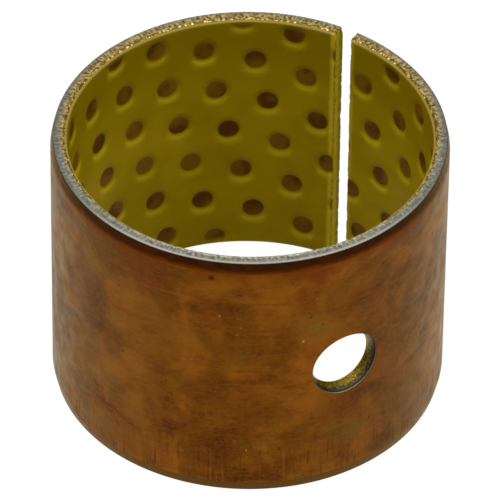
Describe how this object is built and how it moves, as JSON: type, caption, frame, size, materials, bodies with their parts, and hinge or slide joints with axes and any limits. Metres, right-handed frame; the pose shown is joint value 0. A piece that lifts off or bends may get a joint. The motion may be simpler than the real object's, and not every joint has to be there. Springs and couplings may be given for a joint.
{
  "type": "wrapped plain bearing bushing",
  "caption": "Split wrapped bushing on its end: copper-plated steel shell, thin sintered bronze layer, indented acetal lining and a round oil hole through the wall.",
  "frame": {"origin": "centre of the bore at the lower end face", "axes": "+Z along the bore; the oil hole faces -Y, and the axial split is 120 degrees round from it, 30 degrees from +X towards +Y"},
  "size_m": [0.06, 0.06, 0.045],
  "materials": {
    "copper_plated_steel": "thin patinated copper plating outside, bare sawn steel on the end faces and at the split",
    "sintered_bronze": "matte, porous sintered grains",
    "acetal": "olive yellow, satin, with brown grease indents"
  },
  "bodies": {
    "root": {"steel_backing": "copper_plated_steel", "bronze_interlayer": "sintered_bronze", "acetal_lining": "acetal"}
  },
  "joints": []
}
